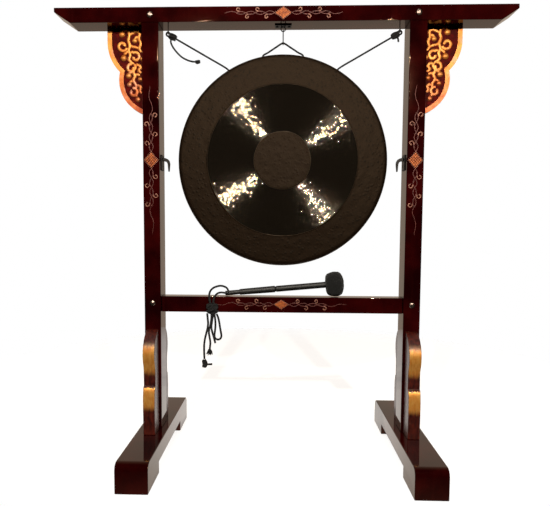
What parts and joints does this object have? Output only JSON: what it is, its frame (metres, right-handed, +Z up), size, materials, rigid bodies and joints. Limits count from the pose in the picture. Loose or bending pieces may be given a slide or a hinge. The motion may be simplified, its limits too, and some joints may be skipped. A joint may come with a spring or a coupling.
{
  "type": "gong on stand",
  "caption": "Tam-tam gong hung on cords from a lacquered wooden floor stand with gilded carved brackets and braces, with a padded mallet lying on the cross rail.",
  "frame": {"origin": "on the floor, midway between the two posts", "axes": "+X to the right, +Y to the rear, +Z up; the front of the gong faces -Y"},
  "size_m": [1.3, 0.556, 1.294],
  "materials": {
    "lacquered_wood": "very dark red-brown gloss lacquer",
    "gilded_carving": "dark red lacquer with worn gold paint on the carving",
    "gong_bronze": "dark bronze, hammered and partly lathed",
    "bolt_steel": "bright steel",
    "black_iron": "black iron",
    "handle_rubber": "satin black",
    "felt": "black felt with pale specks",
    "core_wood": "plain wood, inside the head",
    "black_cord": "black braided cord"
  },
  "bodies": {
    "stand": {"top_beam": "lacquered_wood", "cross_rail": "lacquered_wood", "eye_plate": "black_iron", "eye_plate_left_screw": "black_iron", "eye_plate_right_screw": "black_iron", "left_foot": "lacquered_wood", "left_foot_bolt": "bolt_steel", "left_post": "lacquered_wood", "left_bracket": "gilded_carving", "left_front_brace": "gilded_carving", "left_rear_brace": "gilded_carving", "left_hook": "black_iron", "left_hook_upper_bolt": "black_iron", "left_hook_lower_bolt": "black_iron", "left_screw_eye": "black_iron", "left_beam_bolt": "bolt_steel", "left_beam_nut": "bolt_steel", "left_rail_bolt": "bolt_steel", "left_rail_nut": "bolt_steel", "right_foot": "lacquered_wood", "right_foot_bolt": "bolt_steel", "right_post": "lacquered_wood", "right_bracket": "gilded_carving", "right_front_brace": "gilded_carving", "right_rear_brace": "gilded_carving", "right_hook": "black_iron", "right_hook_upper_bolt": "black_iron", "right_hook_lower_bolt": "black_iron", "right_screw_eye": "black_iron", "right_beam_bolt": "bolt_steel", "right_beam_nut": "bolt_steel", "right_rail_bolt": "bolt_steel", "right_rail_nut": "bolt_steel"},
    "gong": {"gong": "gong_bronze", "centre_left_rim_knot": "black_cord", "centre_right_rim_knot": "black_cord", "side_left_rim_knot": "black_cord", "side_right_rim_knot": "black_cord", "s_hook": "black_iron", "centre_cord": "black_cord", "left_eye_knot": "black_cord", "right_eye_knot": "black_cord", "left_side_cord": "black_cord", "right_side_cord": "black_cord", "left_cord_tail": "black_cord", "left_tail_knot": "black_cord"},
    "mallet": {"mallet_handle": "handle_rubber", "mallet_grip": "handle_rubber", "mallet_core": "core_wood", "mallet_head": "felt", "mallet_cord": "black_cord", "tassel_knot": "black_cord", "tassel_long_strand": "black_cord", "tassel_middle_strand": "black_cord", "tassel_short_strand": "black_cord", "tassel_bight": "black_cord", "tassel_end_knot": "black_cord"}
  },
  "joints": [
    {"name": "gong_swing", "type": "hinge", "parent": "stand", "child": "gong", "pos_m": [0, 0, 1.236], "axis": [1, 0, 0], "range_deg": [-25, 25]},
    {"name": "mallet_lift", "type": "slide", "parent": "stand", "child": "mallet", "axis": [0, -0.9659, 0.2588], "range_m": [0, 0.3]}
  ]
}
